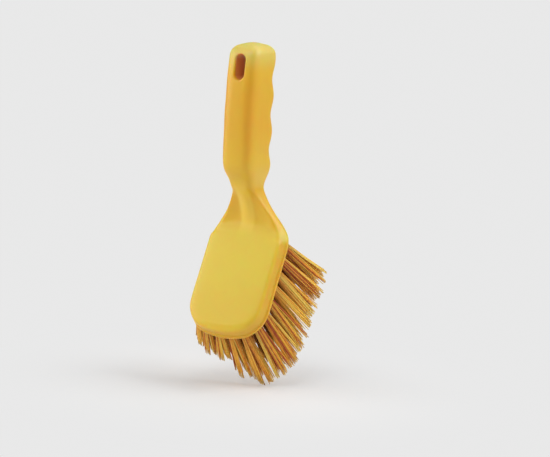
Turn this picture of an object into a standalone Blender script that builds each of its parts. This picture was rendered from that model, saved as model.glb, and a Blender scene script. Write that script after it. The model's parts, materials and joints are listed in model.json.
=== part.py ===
"""A short handle brush: one moulding of head, neck and grip, and bristle tufts set in its head.

Metres, +Z up. The brush is modelled as it hangs: its grip stands along +Z, the back of its head
looks towards -Y and its bristles point to +Y and down. The origin is in the hanging slot, on the
centre of the slot's upper round end, where a peg carries the brush.

The head has a frame of its own: u runs along the head towards the grip, h rises from the bristle
face to the back, and both are turned from the grip by HANDLE_ANGLE about the X axis.
"""

import math

import bmesh
import bpy
from mathutils import Matrix, Vector

MM = 0.001

# Head, in its own frame
HEAD_WIDTH = 75.8 * MM
HEAD_FREE_END = 50.0 * MM        # from the head's centre to its free end
HEAD_END_CROWN = 1.0 * MM        # how far the middle of the free end bulges
HEAD_CORNER_RADIUS = 27.0 * MM
HEAD_SIDE_END = 33.0 * MM        # from the head's centre to where the straight sides end
HEAD_THICKNESS = 14.4 * MM
RIM_HEIGHT = 2.8 * MM            # the lip round the bristle face
RIM_STEP = 1.1 * MM
SIDE_DRAFT = 3.2 * MM            # how far the side leans in between face and back
BACK_EDGE_ROUND = 7.5 * MM
SHOULDER_EDGE_ROUND = 2.2 * MM
FACE_EDGE_ROUND = 0.8 * MM

# Neck and grip
HANDLE_ANGLE = math.radians(27.0)
NECK_ALONG_HEAD = 76.0 * MM      # the neck's centre, in the head's frame
NECK_ABOVE_FACE = 33.0 * MM
NECK_WIDTH = 23.0 * MM
NECK_BACK = 8.5 * MM             # from the grip's axis to the neck's back
NECK_UNDERSIDE = 13.0 * MM       # and to its underside
NECK_RUN = 19.5 * MM             # from the neck's centre to where the grip has its full section
GRIP_LENGTH = 121.5 * MM         # from the neck's centre to the end
GRIP_WIDTH = 30.0 * MM
GRIP_BACK = 24.0 * MM            # from the grip's axis to its back, where that is fullest
BACK_FULLEST = 50.0 * MM         # from the neck's centre to that place
BACK_FALL = 5.7 * MM             # how much lower the back is at the grip's end
GRIP_UNDERSIDE = 18.0 * MM       # from the grip's axis to its underside, between finger grooves
FIRST_GROOVE = 33.0 * MM         # from the neck's centre
LAST_GROOVE = 27.5 * MM          # from the grip's end
GROOVE_COUNT = 3
GROOVE_SHARE = 0.95              # a groove's length over the grooves' pitch
GROOVE_DEPTH = 4.5 * MM
END_ROUND = 8.5 * MM
END_BACK_ROUND = 11.0 * MM       # the end is rounder at the back

# Hanging slot through the grip, from back to underside
SLOT_WIDTH = 9.4 * MM
SLOT_LENGTH = 21.5 * MM
SLOT_TOP_WALL = 7.0 * MM         # from the slot's upper end to the grip's end
SLOT_LIP = 1.6 * MM              # how far its edges are rounded open

# Bristles: they fan out from the head and lean towards its free end
TUFT_DIAMETER = 8.2 * MM
RINGS_ALONG = 7.5                # how many of the rings' spacings go into the field's length
TUFT_EDGE_MARGIN = 6.2 * MM      # from the edge of the field to the centres of the outer tufts
FIELD_END = 45.0 * MM            # from the head's centre to the field's edge nearest the grip
BRISTLE_TRIM = 45.5 * MM         # from the bristle face to the trimmed tips, at the middle
TRIM_SLOPE_ACROSS = math.radians(9.0)   # the tips get longer from the left side to the right
TRIM_SLOPE_ALONG = math.radians(5.0)    # and from the free end to the grip
BRISTLE_LEAN = math.radians(18.8)
FAN_ACROSS = 105.0 * MM          # how far above the face the tufts' lines meet, seen from an end
FAN_ALONG = 192.0 * MM           # and seen from a side
TUFT_FLARE = 1.6                 # a tuft's width at its tips over its width at the face
HOLE_DEPTH = 8.5 * MM

# Half of each ring of tufts, from the edge inwards: how many stand from the middle of the free end
# up the side to the field's corner, and how many more along the grip's side
TUFTS_IN_RINGS = ((9, 2), (6, 1), (3, 0))

STRAND_WIDTH = 1.3 * MM
STRAND_ROOT = 2.0 * MM           # how deep a strand starts in its tuft's plug
STRANDS_IN_TUFT = 9
STRAND_SIDES = 3
HOLE_SIDES = 10

FIT_GAP = 0.3 * MM
OVERRUN = 2.0 * MM
ARC_STEPS = 8                    # straight pieces in a half circle of the slot or a corner's path

# From a three-sided strand's middle to its corners
STRAND_RADIUS = STRAND_WIDTH / math.sqrt(3.0)

GROOVE_PITCH = (GRIP_LENGTH - FIRST_GROOVE - LAST_GROOVE) / (GROOVE_COUNT - 1)
GROOVE_LENGTH = GROOVE_PITCH * GROOVE_SHARE

# The slot's upper round end is the origin, so the neck's centre lies below it
SLOT_TOP_CENTRE = GRIP_LENGTH - SLOT_TOP_WALL - SLOT_WIDTH / 2
NECK_HEIGHT = -SLOT_TOP_CENTRE

# Half of a closed section, from the middle of its lower side to the middle of its upper side, as
# shares of the half width and of the way up. The neck's middle stands above flutes at its sides.
NECK_SHARES = ((0.0, 0.0), (0.5, 0.0), (0.88, 0.02), (1.0, 0.1), (1.0, 0.22), (0.99, 0.34),
               (0.97, 0.48), (0.94, 0.66), (0.74, 0.68), (0.34, 0.74), (0.0, 1.0))
GRIP_SHARES = ((0.0, 0.0), (0.45, 0.0), (0.84, 0.02), (1.0, 0.14), (1.0, 0.3), (1.0, 0.44),
               (1.0, 0.58), (0.99, 0.79), (0.8, 0.96), (0.42, 1.0), (0.0, 1.0))

# From the end of the head's straight sides (0) to the neck's centre (1): how far the lower line
# has gone along and up, the same for the upper line, how much of the head's width is left, and
# how much of the section has turned into the neck's and into the grip's
SHOULDER_SHARES = ((0.10, 0.0, 0.12, 0.0, 0.985, 0.0, 0.0),
                   (0.20, 0.0, 0.23, 0.0, 0.94, 0.0, 0.0),
                   (0.31, 0.03, 0.35, 0.0, 0.845, 0.3, 0.0),
                   (0.45, 0.17, 0.47, 0.05, 0.67, 0.75, 0.0),
                   (0.59, 0.39, 0.61, 0.22, 0.465, 0.9, 0.1),
                   (0.73, 0.63, 0.76, 0.49, 0.265, 0.75, 0.25),
                   (0.88, 0.83, 0.9, 0.78, 0.09, 0.4, 0.6))

# Where the sections of the head's straight sides stand, and those of the grip's rounded end: how
# far before the end, and how far drawn in, as shares of the rounding
STRAIGHT_SHARES = (0.3, 0.65, 0.93)
END_SHARES = ((1.0, 0.0), (0.5, 0.08), (0.14, 0.36), (0.0, 0.8))
CORNER_ANGLES = tuple(math.radians(angle) for angle in (90.0, 68.0, 45.0, 22.0, 0.0))


def head_matrix():
    """The head's own frame: X across, Y towards the bristle tips, Z along the head."""
    to_neck = Matrix.Translation((0.0, NECK_ABOVE_FACE, -NECK_ALONG_HEAD))
    turn = Matrix.Rotation(-HANDLE_ANGLE, 4, "X")
    return Matrix.Translation((0.0, 0.0, NECK_HEIGHT)) @ turn @ to_neck


HEAD = head_matrix()


def on_head(x, u, h):
    return HEAD @ Vector((x, -h, u))


def on_grip(x, along, back):
    return Vector((x, -back, NECK_HEIGHT + along))


def mix(start, end, share):
    return start + (end - start) * share


def ease(share):
    share = min(max(share, 0.0), 1.0)
    return share * share * (3.0 - 2.0 * share)


# Sections of the moulding, each a half section from its lower middle to its upper middle


def head_edge(rounding):
    """The head's side as insets from its outline and heights above the face."""
    return ((FACE_EDGE_ROUND, 0.0),
            (0.0, FACE_EDGE_ROUND / 2),
            (0.0, RIM_HEIGHT),
            (RIM_STEP, RIM_HEIGHT + RIM_STEP / 2),
            (RIM_STEP, RIM_HEIGHT + RIM_STEP * 2),
            (SIDE_DRAFT, HEAD_THICKNESS - rounding / 4),
            (SIDE_DRAFT + rounding, HEAD_THICKNESS))


def corner_section(angle):
    """A section through the rounded free end, at an angle round its corner; 90 degrees is the end."""
    centre_x = HEAD_WIDTH / 2 - HEAD_CORNER_RADIUS
    centre_u = HEAD_CORNER_RADIUS - HEAD_FREE_END
    edge = []
    for inset, height in head_edge(BACK_EDGE_ROUND):
        reach = HEAD_CORNER_RADIUS - inset
        edge.append((centre_x + reach * math.cos(angle), centre_u - reach * math.sin(angle), height))
    bulge = HEAD_END_CROWN * math.sin(angle)
    low_x, low_u, low_h = edge[0]
    high_x, high_u, high_h = edge[-1]
    points = [(0.0, low_u - bulge, low_h), (low_x / 2, low_u - bulge * 3 / 4, low_h)] + edge
    points += [(high_x / 2, high_u - bulge * 3 / 4, high_h), (0.0, high_u - bulge, high_h)]
    return [on_head(*point) for point in points]


def head_shares(half_width, rounding):
    """The head's section as shares, so that it can be mixed with the neck's."""
    edge = []
    for inset, height in head_edge(rounding):
        edge.append((1.0 - inset / half_width, height / HEAD_THICKNESS))
    return [(0.0, 0.0), (0.5, 0.0)] + edge + [(0.5, 1.0), (0.0, 1.0)]


def section_between(lower, upper, half_width, shares):
    points = []
    for across, up in shares:
        place = lower.lerp(upper, up)
        points.append(Vector((half_width * across, place.y, place.z)))
    return points


def straight_section(along):
    half_width = HEAD_WIDTH / 2
    lower = on_head(0.0, along, 0.0)
    upper = on_head(0.0, along, HEAD_THICKNESS)
    return section_between(lower, upper, half_width, head_shares(half_width, BACK_EDGE_ROUND))


def shoulder_line(start, end, along, rise):
    """A point between two points, moved by one share along the head and by another above its face."""
    return on_head(0.0, mix(start.z, end.z, along), mix(-start.y, -end.y, rise))


def shoulder_section(low_along, low_rise, high_along, high_rise, width, neck, grip):
    """A section between the head's straight sides and the neck, by a row of SHOULDER_SHARES."""
    to_head = HEAD.inverted()
    neck_low = to_head @ on_grip(0.0, 0.0, -NECK_UNDERSIDE)
    neck_high = to_head @ on_grip(0.0, 0.0, NECK_BACK)
    lower = shoulder_line(Vector((0.0, 0.0, HEAD_SIDE_END)), neck_low, low_along, low_rise)
    upper = shoulder_line(Vector((0.0, -HEAD_THICKNESS, HEAD_SIDE_END)), neck_high, high_along, high_rise)
    half_width = mix(NECK_WIDTH, HEAD_WIDTH, width) / 2
    own = head_shares(half_width, SHOULDER_EDGE_ROUND)
    shares = []
    for plain, fluted, grasp in zip(own, NECK_SHARES, GRIP_SHARES):
        rest = 1.0 - neck - grip
        shares.append([rest * p + neck * f + grip * g for p, f, g in zip(plain, fluted, grasp)])
    return section_between(lower, upper, half_width, shares)


def groove(along):
    """How deep the finger grooves are at a place along the grip's underside."""
    depth = 0.0
    for count in range(GROOVE_COUNT):
        off = abs(along - FIRST_GROOVE - GROOVE_PITCH * count) / (GROOVE_LENGTH / 2)
        if off < 1.0:
            depth += GROOVE_DEPTH * (0.5 + 0.5 * math.cos(math.pi * off))
    return depth


def grip_back(along):
    fall = BACK_FALL * ((along - BACK_FULLEST) / (GRIP_LENGTH - BACK_FULLEST)) ** 2
    return mix(NECK_BACK, GRIP_BACK - fall, ease(along / NECK_RUN))


def grip_underside(along):
    return mix(NECK_UNDERSIDE, GRIP_UNDERSIDE - groove(along), ease(along / NECK_RUN))


def grip_section(along, drawn):
    """A section of the grip, drawn in by a share of the end's rounding."""
    lower = on_grip(0.0, along, END_ROUND * drawn - grip_underside(along))
    upper = on_grip(0.0, along, grip_back(along) - END_BACK_ROUND * drawn)
    half_width = mix(NECK_WIDTH, GRIP_WIDTH, ease(along / NECK_RUN)) / 2 - END_ROUND * drawn
    return section_between(lower, upper, half_width, GRIP_SHARES)


def all_sections():
    sections = [corner_section(angle) for angle in CORNER_ANGLES]
    start = HEAD_CORNER_RADIUS - HEAD_FREE_END
    sections += [straight_section(mix(start, HEAD_SIDE_END, share)) for share in STRAIGHT_SHARES]
    sections += [shoulder_section(*row) for row in SHOULDER_SHARES]
    straight = GRIP_LENGTH - END_ROUND
    count = round(straight / (GROOVE_LENGTH / 4))
    sections += [grip_section(straight * step / count, 0.0) for step in range(count)]
    for before, inward in END_SHARES:
        sections.append(grip_section(GRIP_LENGTH - END_ROUND * before, inward))
    return sections


def sharpened(sections):
    """Subdivision draws a cage's bends in by a sixth; this moves them out as far beforehand."""
    result = [sections[0]]
    for before, here, after in zip(sections, sections[1:], sections[2:]):
        result.append([p - (b - 2.0 * p + a) / 6.0 for b, p, a in zip(before, here, after)])
    return result + [sections[-1]]


# The moulding


def add_cap(bm, ring, outward):
    """Close a ring with a grid of faces, four across, from its lower side to its upper side."""
    last = len(ring) // 2
    right = ring[:last + 1]
    left = [ring[-step] for step in range(last + 1)]
    rows = [[left[2], left[1], ring[0], right[1], right[2]]]
    bulge = (ring[0].co - right[2].co).dot(outward) * outward
    for level in range(3, last - 2):
        row = [left[level]]
        for share, rise in ((0.25, 0.75), (0.5, 1.0), (0.75, 0.75)):
            row.append(bm.verts.new(left[level].co.lerp(right[level].co, share) + bulge * rise))
        rows.append(row + [right[level]])
    rows.append([left[last - 2], left[last - 1], ring[last], right[last - 1], right[last - 2]])
    for low, high in zip(rows, rows[1:]):
        for column in range(4):
            bm.faces.new((low[column], low[column + 1], high[column + 1], high[column]))


def moulding_mesh():
    """A cage lofted through the sections, from the head's free end to the grip's end."""
    bm = bmesh.new()
    rings = []
    for half in sharpened(all_sections()):
        ring = [bm.verts.new(point) for point in half]
        for point in reversed(half[1:-1]):
            ring.append(bm.verts.new((-point.x, point.y, point.z)))
        rings.append(ring)
    for near, far in zip(rings, rings[1:]):
        for step in range(len(near)):
            after = (step + 1) % len(near)
            bm.faces.new((near[step], near[after], far[after], far[step]))
    add_cap(bm, rings[0], HEAD.to_3x3() @ Vector((0.0, 0.0, -1.0)))
    add_cap(bm, rings[-1], Vector((0.0, 0.0, 1.0)))
    bmesh.ops.recalc_face_normals(bm, faces=bm.faces)
    return finished_mesh(bm, "moulding")


def slot_outline(spread):
    """The slot's outline at the grip's axis, wider by a spread all round: X and height pairs."""
    radius = SLOT_WIDTH / 2 + spread
    drop = SLOT_LENGTH - SLOT_WIDTH
    points = []
    for centre, start in ((0.0, 0.0), (-drop, math.pi)):
        for step in range(ARC_STEPS + 1):
            angle = start + math.pi * step / ARC_STEPS
            points.append((radius * math.cos(angle), centre + radius * math.sin(angle)))
    return points


def slot_cutter_mesh():
    """A flared plug that runs from past the back to past the underside and follows both."""
    bm = bmesh.new()
    rings = []
    for side, depth_of in ((-1.0, grip_back), (1.0, grip_underside)):
        levels = [(-OVERRUN, SLOT_LIP + OVERRUN)]
        for angle in (15.0, 45.0, 75.0):
            turn = math.radians(angle)
            levels.append((SLOT_LIP * (1.0 - math.cos(turn)), SLOT_LIP * (1.0 - math.sin(turn))))
        if side > 0.0:
            levels.reverse()
        for depth, spread in levels:
            ring = []
            for x, z in slot_outline(spread):
                ring.append(bm.verts.new((x, side * (depth_of(z - NECK_HEIGHT) - depth), z)))
            rings.append(ring)
    for near, far in zip(rings, rings[1:]):
        for step in range(len(near)):
            after = (step + 1) % len(near)
            bm.faces.new((near[step], near[after], far[after], far[step]))
    bm.faces.new(rings[0])
    bm.faces.new(rings[-1])
    bmesh.ops.recalc_face_normals(bm, faces=bm.faces)
    return finished_mesh(bm, "slot_cutter")


# Bristles


def tuft_path(half_width, free, grip_side, corner):
    """From the middle of a ring's free end, round its corner, to its corner at the grip's side."""
    path = [Vector((0.0, free))]
    for step in range(ARC_STEPS + 1):
        angle = math.pi / 2 * step / ARC_STEPS
        path.append(Vector((half_width - corner + corner * math.sin(angle),
                            free + corner - corner * math.cos(angle))))
    return path + [Vector((half_width, grip_side))]


def point_along(path, distance):
    for start, end in zip(path, path[1:]):
        span = (end - start).length
        if distance <= span and span > 0.0:
            return start.lerp(end, distance / span)
        distance -= span
    return path[-1].copy()


def tuft_places():
    """The middles of the tufts at the face, ring by ring from the edge inwards, as X and u."""
    places = []
    across = (HEAD_WIDTH / 2 - TUFT_EDGE_MARGIN) / (len(TUFTS_IN_RINGS) - 0.5)
    along = (HEAD_FREE_END + FIELD_END) / RINGS_ALONG
    for ring, (side_count, end_count) in enumerate(TUFTS_IN_RINGS):
        half_width = HEAD_WIDTH / 2 - TUFT_EDGE_MARGIN - across * ring
        end_inset = TUFT_EDGE_MARGIN + along * ring
        free, grip_side = end_inset - HEAD_FREE_END, FIELD_END - end_inset
        path = tuft_path(half_width, free, grip_side, max(HEAD_CORNER_RADIUS - end_inset, 0.0))
        length = sum((end - start).length for start, end in zip(path, path[1:]))
        half = [point_along(path, length * (step + 0.5) / (side_count - 0.5))
                for step in range(side_count)]
        for step in range(1, end_count + 1):
            half.append(Vector((half_width * (1.0 - step / (end_count + 0.5)), grip_side)))
        places += [(place.x, place.y) for place in half]
        places += [(-place.x, place.y) for place in reversed(half)]
    return places


def fan_slopes(x, u):
    """How far a tuft goes across and along the head for each unit that it leaves the face."""
    return x / FAN_ACROSS, u / FAN_ALONG - math.tan(BRISTLE_LEAN)


def add_slanted(bm, sides, radius, ends, slopes, offset=(0.0, 0.0)):
    """A prism along Y between two flat ends, slid along X and Z as it goes."""
    start, end = ends
    turn = Matrix.Rotation(-math.pi / 2, 4, "X")
    place = Matrix.Translation((0.0, (start + end) / 2, 0.0)) @ turn
    made = bmesh.ops.create_cone(bm, cap_ends=True, segments=sides, radius1=radius,
                                 radius2=radius, depth=end - start, matrix=place)
    for vert in made["verts"]:
        vert.co.x += offset[0] + slopes[0] * vert.co.y
        vert.co.z += offset[1] + slopes[1] * vert.co.y


def strand_offsets():
    """Places for a tuft's strands on a spiral that fills a circle evenly."""
    reach = TUFT_DIAMETER / 2 - STRAND_RADIUS
    golden = math.pi * (3.0 - math.sqrt(5.0))
    offsets = []
    for count in range(STRANDS_IN_TUFT):
        radius = reach * math.sqrt((count + 0.5) / STRANDS_IN_TUFT)
        angle = golden * (count + 0.5)
        offsets.append((radius * math.cos(angle), radius * math.sin(angle)))
    return offsets


def trim_at(x, u):
    return BRISTLE_TRIM + x * math.tan(TRIM_SLOPE_ACROSS) + u * math.tan(TRIM_SLOPE_ALONG)


def strands_mesh(slopes, x, u):
    bm = bmesh.new()
    trim = trim_at(x, u)
    spread = (TUFT_FLARE - 1.0) / trim
    for across, along in strand_offsets():
        own = (slopes[0] + across * spread, slopes[1] + along * spread)
        end = trim_at(x + across, u + along)
        add_slanted(bm, STRAND_SIDES, STRAND_RADIUS, (-STRAND_ROOT, end), own, (across, along))
    return finished_mesh(bm, "strands")


def plug_mesh(slopes):
    bm = bmesh.new()
    radius = TUFT_DIAMETER / 2
    add_slanted(bm, HOLE_SIDES, radius, (FIT_GAP - HOLE_DEPTH, 0.0), slopes)
    return finished_mesh(bm, "plug")


def holes_mesh():
    """All the holes for the tufts, as one cutter in the head's frame."""
    bm = bmesh.new()
    radius = TUFT_DIAMETER / 2 + FIT_GAP
    for place in tuft_places():
        slopes = fan_slopes(*place)
        add_slanted(bm, HOLE_SIDES, radius, (-HOLE_DEPTH, OVERRUN), slopes, place)
    return finished_mesh(bm, "holes")


# Objects, materials and their collections


def finished_mesh(bm, name):
    mesh = bpy.data.meshes.new(name)
    bm.to_mesh(mesh)
    bm.free()
    return mesh


def make_material(name, colour, roughness):
    material = bpy.data.materials.new(name)
    material.use_nodes = True
    shader = material.node_tree.nodes["Principled BSDF"]
    shader.inputs["Base Color"].default_value = (*colour, 1.0)
    shader.inputs["Roughness"].default_value = roughness
    shader.inputs["Metallic"].default_value = 0.0
    return material


def add_object(name, mesh, collection, parent=None):
    obj = bpy.data.objects.new(name, mesh)
    collection.objects.link(obj)
    obj.parent = parent
    return obj


def as_cutter(obj):
    obj.hide_render = True
    obj.display_type = "WIRE"
    return obj


def add_boolean(obj, operation, other):
    modifier = obj.modifiers.new(operation.lower(), "BOOLEAN")
    modifier.operation = operation
    modifier.solver = "EXACT"
    modifier.object = other


def add_moulding(collection, cutters, head_frame):
    mesh = moulding_mesh()
    mesh.shade_smooth()
    mesh.materials.append(make_material("yellow_plastic", (0.72, 0.43, 0.045), 0.42))
    moulding = add_object("block_and_grip", mesh, collection)
    rounding = moulding.modifiers.new("rounding", "SUBSURF")
    rounding.levels = 1
    rounding.render_levels = 1
    slot = as_cutter(add_object("slot_cutter", slot_cutter_mesh(), cutters))
    add_boolean(moulding, "DIFFERENCE", slot)
    holes = as_cutter(add_object("hole_cutter", holes_mesh(), cutters, head_frame))
    add_boolean(moulding, "DIFFERENCE", holes)
    return moulding


def add_tufts(collection, head_frame):
    """Each tuft is a plug that fills its hole, with its strands joined to it."""
    filament = make_material("amber_filament", (0.42, 0.15, 0.035), 0.55)
    for number, (x, u) in enumerate(tuft_places(), start=1):
        slopes = fan_slopes(x, u)
        tuft = add_object(f"tuft_{number:02d}", plug_mesh(slopes), collection, head_frame)
        strands = add_object("strands", strands_mesh(slopes, x, u), collection, head_frame)
        add_boolean(tuft, "UNION", strands)
        graph = bpy.context.evaluated_depsgraph_get()
        mesh = bpy.data.meshes.new_from_object(tuft.evaluated_get(graph))
        tuft.modifiers.clear()
        tuft.data = mesh
        mesh.materials.clear()
        mesh.materials.append(filament)
        bpy.data.objects.remove(strands)
        tuft.location = (x, 0.0, u)


def main():
    for obj in list(bpy.data.objects):
        bpy.data.objects.remove(obj)
    brush = bpy.data.collections.new("short_handle_brush")
    cutters = bpy.data.collections.new("cutters")
    bpy.context.scene.collection.children.link(brush)
    bpy.context.scene.collection.children.link(cutters)
    head_frame = bpy.data.objects.new("head_frame", None)
    brush.objects.link(head_frame)
    head_frame.matrix_world = HEAD
    add_moulding(brush, cutters, head_frame)
    add_tufts(brush, head_frame)


main()
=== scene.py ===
# %% [markdown]
# # A short handle brush
#
# The brush is a hygiene scrubbing brush: one yellow plastic moulding for head, neck and grip, and
# bundles of stiff filaments set in holes in its head. This lesson dresses its CAD frame: a fine
# moulding replaces the coarse one, and a full tuft replaces each bundle of strands. The frame comes
# first, because every piece has to sit where the CAD says.

# %% Load the frame
import json
import math
import random

import bmesh
import bpy
from mathutils import Matrix, Vector

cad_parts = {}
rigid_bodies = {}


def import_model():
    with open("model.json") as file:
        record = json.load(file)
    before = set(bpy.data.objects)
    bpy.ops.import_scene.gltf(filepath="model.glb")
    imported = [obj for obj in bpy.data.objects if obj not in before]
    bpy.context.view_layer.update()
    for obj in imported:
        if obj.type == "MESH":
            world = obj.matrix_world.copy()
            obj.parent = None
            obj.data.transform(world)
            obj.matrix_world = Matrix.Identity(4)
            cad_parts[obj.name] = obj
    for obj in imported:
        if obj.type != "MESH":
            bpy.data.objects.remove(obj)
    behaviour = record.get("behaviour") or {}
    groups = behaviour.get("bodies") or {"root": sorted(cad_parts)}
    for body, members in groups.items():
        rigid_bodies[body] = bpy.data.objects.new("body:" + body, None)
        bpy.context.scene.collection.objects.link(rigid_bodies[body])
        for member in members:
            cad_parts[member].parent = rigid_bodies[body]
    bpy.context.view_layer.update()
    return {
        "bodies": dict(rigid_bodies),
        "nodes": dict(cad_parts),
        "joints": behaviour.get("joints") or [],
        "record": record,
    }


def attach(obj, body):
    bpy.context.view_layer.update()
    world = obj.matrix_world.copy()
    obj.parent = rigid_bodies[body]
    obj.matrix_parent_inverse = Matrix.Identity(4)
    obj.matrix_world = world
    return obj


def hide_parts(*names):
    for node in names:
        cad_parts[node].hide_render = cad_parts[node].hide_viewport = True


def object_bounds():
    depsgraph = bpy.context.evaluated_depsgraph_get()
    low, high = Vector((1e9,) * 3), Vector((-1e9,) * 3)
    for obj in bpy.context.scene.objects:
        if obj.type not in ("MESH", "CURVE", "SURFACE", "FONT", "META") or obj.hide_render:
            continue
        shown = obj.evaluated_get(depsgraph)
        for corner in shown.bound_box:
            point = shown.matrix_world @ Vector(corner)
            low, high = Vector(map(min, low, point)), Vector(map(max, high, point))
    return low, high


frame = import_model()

# %% [markdown]
# ## The head's own frame
#
# The grip stands along Z, and the head is turned from it by 27 degrees. It is easier to think of
# the head in a frame of its own: x across it, u along it towards the grip, and h up from the
# bristle face to the back. Two helpers turn such places into metres in the CAD's frame.

# %% Frame of the head and of the grip
MM = 0.001
HANDLE_ANGLE = math.radians(27.0)
NECK_ALONG_HEAD = 76.0 * MM
NECK_ABOVE_FACE = 33.0 * MM
NECK_HEIGHT = -109.8 * MM

HEAD = (Matrix.Translation((0.0, 0.0, NECK_HEIGHT)) @ Matrix.Rotation(-HANDLE_ANGLE, 4, "X")
        @ Matrix.Translation((0.0, NECK_ABOVE_FACE, -NECK_ALONG_HEAD)))


def on_head(x, u, h):
    return HEAD @ Vector((x, -h, u))


def on_grip(x, along, back):
    return Vector((x, -back, NECK_HEIGHT + along))


def mix(start, end, share):
    return start + (end - start) * share


def ease(share):
    share = min(max(share, 0.0), 1.0)
    return share * share * (3.0 - 2.0 * share)


print("the head's centre is at", [round(1000 * c, 1) for c in on_head(0.0, 0.0, 0.0)], "mm")

# %% [markdown]
# ## Sections of the moulding
#
# A moulding like this is drawn as a row of closed sections, and its skin runs through them. Each
# section is given as half of its outline, from the middle of its lower side to the middle of its
# upper side. The head's section has a lip round the bristle face, a small ledge on it that catches
# the light, and a rounded edge up to the flat back. The neck has a low rib in the middle between two
# flutes, and the grip is a rounded box. One could also push and pull a cube into this shape, but
# tables of sections keep every width and curve where it can be read and changed.

# %% Section tables
HALF_WIDTH = 37.9 * MM
FREE_END = 50.0 * MM
END_CROWN = 1.0 * MM
CORNER_RADIUS = 27.0 * MM
SIDE_END = 33.0 * MM
THICKNESS = 14.4 * MM

# The head's side, as insets from its outline and heights above the bristle face, in mm: on its
# straight stretches, at the corner where the shoulder's crease starts, and at the shoulder
SOFT_SIDE = ((0.8, 0.0), (0.0, 0.5), (0.0, 2.0), (0.25, 2.9), (1.7, 3.15), (1.9, 5.6), (2.4, 11.2),
             (3.9, 13.3), (8.2, 14.15))
CORNER_SIDE = ((0.8, 0.0), (0.0, 0.5), (0.0, 2.0), (0.1, 2.9), (0.5, 3.6), (1.1, 4.8), (2.3, 8.8),
               (4.7, 12.3), (10.0, 14.0))
CRISP_SIDE = ((0.8, 0.0), (0.0, 0.5), (0.0, 2.6), (0.3, 4.0), (2.0, 8.6), (3.8, 12.9), (4.5, 13.6),
              (6.2, 14.0), (10.5, 14.3))
FLAT_SHARE = 0.55

# Half sections of the neck and the grip, as shares of the half width and of the way up
NECK_SHARES = ((0.0, 0.0), (0.3, 0.0), (0.6, 0.0), (0.88, 0.02), (1.0, 0.1), (1.0, 0.24),
               (0.99, 0.42), (0.97, 0.6), (0.93, 0.77), (0.86, 0.85), (0.67, 0.79), (0.46, 0.75),
               (0.29, 0.77), (0.14, 0.88), (0.0, 0.93))
GRIP_SHARES = ((0.0, 0.0), (0.3, 0.0), (0.6, 0.0), (0.86, 0.02), (0.985, 0.1), (1.0, 0.21),
               (1.0, 0.33), (1.0, 0.46), (1.0, 0.59), (0.995, 0.72), (0.95, 0.85), (0.82, 0.945),
               (0.58, 0.99), (0.3, 1.0), (0.0, 1.0))
LOWER_POINTS = 3

# From the end of the head's straight sides (0) to the neck's centre (1): how far the lower line has
# gone along and up, the same for the upper line, how much of the head's width is left, how much of
# the section has turned into the neck's and into the grip's, how soft the head's side still is, and
# how much the upper line bows towards the head at its sides
SHOULDER_SHARES = ((0.05, 0.0, 0.06, 0.0, 0.998, 0.0, 0.0, 1.0, 0.0),
                   (0.11, 0.0, 0.13, 0.0, 0.985, 0.0, 0.0, 0.78, 0.0),
                   (0.17, 0.0, 0.20, 0.0, 0.965, 0.0, 0.0, 0.5, 0.1),
                   (0.24, 0.0, 0.28, 0.0, 0.925, 0.0, 0.0, 0.36, 0.4),
                   (0.31, 0.03, 0.36, 0.0, 0.87, 0.08, 0.0, 0.2, 0.8),
                   (0.38, 0.09, 0.43, 0.02, 0.79, 0.35, 0.0, 0.07, 1.0),
                   (0.46, 0.18, 0.5, 0.08, 0.685, 0.72, 0.0, 0.0, 0.7),
                   (0.59, 0.39, 0.61, 0.235, 0.475, 0.92, 0.08, 0.0, 0.3),
                   (0.73, 0.63, 0.76, 0.5, 0.262, 0.86, 0.14, 0.0, 0.0),
                   (0.88, 0.83, 0.9, 0.78, 0.09, 0.6, 0.4, 0.0, 0.0))
CREASE_BOW, BOW_REACH = 5.5 * MM, 0.7
print(len(GRIP_SHARES), "points in half a section")

# %% Sections of the head


def crowned(point, share, angle):
    """The place at a share of the way out to a point, on the free end's slight bulge."""
    x, u, h = point
    return x * share, u - END_CROWN * math.sin(angle) * (1.0 - share * share), h


def corner_section(angle):
    """A section through the free end, at an angle round its corner; 90 degrees is the end."""
    centre_x, centre_u = HALF_WIDTH - CORNER_RADIUS, CORNER_RADIUS - FREE_END
    side = []
    for inset, height in SOFT_SIDE:
        reach = CORNER_RADIUS - inset * MM
        side.append((centre_x + reach * math.cos(angle), centre_u - reach * math.sin(angle),
                     height * MM))
    below = [crowned(side[0], step / 3, angle) for step in (0, 1, 2)]
    above = [crowned(side[-1], step / 3, angle) for step in (2, 1, 0)]
    return [on_head(*point) for point in below + side + above]


def head_shares(half_width, soft):
    """The head's section as shares of a half width and of the way up."""
    shares = [(0.0, 0.0), (0.33, 0.0), (0.67, 0.0)]
    start, end = (CRISP_SIDE, CORNER_SIDE) if soft < 0.5 else (CORNER_SIDE, SOFT_SIDE)
    for (start_in, start_up), (end_in, end_up) in zip(start, end):
        turn = 2.0 * soft % 1.0 if soft < 1.0 else 1.0
        inset, height = mix(start_in, end_in, turn) * MM, mix(start_up, end_up, turn) * MM
        shares.append((max(1.0 - inset / half_width, FLAT_SHARE), height / THICKNESS))
    return shares + [(FLAT_SHARE * 2 / 3, 1.0), (FLAT_SHARE / 3, 1.0), (0.0, 1.0)]


print("half a section of the head has", len(head_shares(HALF_WIDTH, 1.0)), "points")

# %% Sections between a lower and an upper line


def section_between(lower, upper, half_width, shares):
    points = []
    for across, up in shares:
        place = lower.lerp(upper, up)
        points.append(Vector((half_width * across, place.y, place.z)))
    return points


def straight_section(along):
    lower, upper = on_head(0.0, along, 0.0), on_head(0.0, along, THICKNESS)
    return section_between(lower, upper, HALF_WIDTH, head_shares(HALF_WIDTH, 1.0))


print("sections of the head are", round(2000 * HALF_WIDTH, 1), "mm wide")

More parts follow.
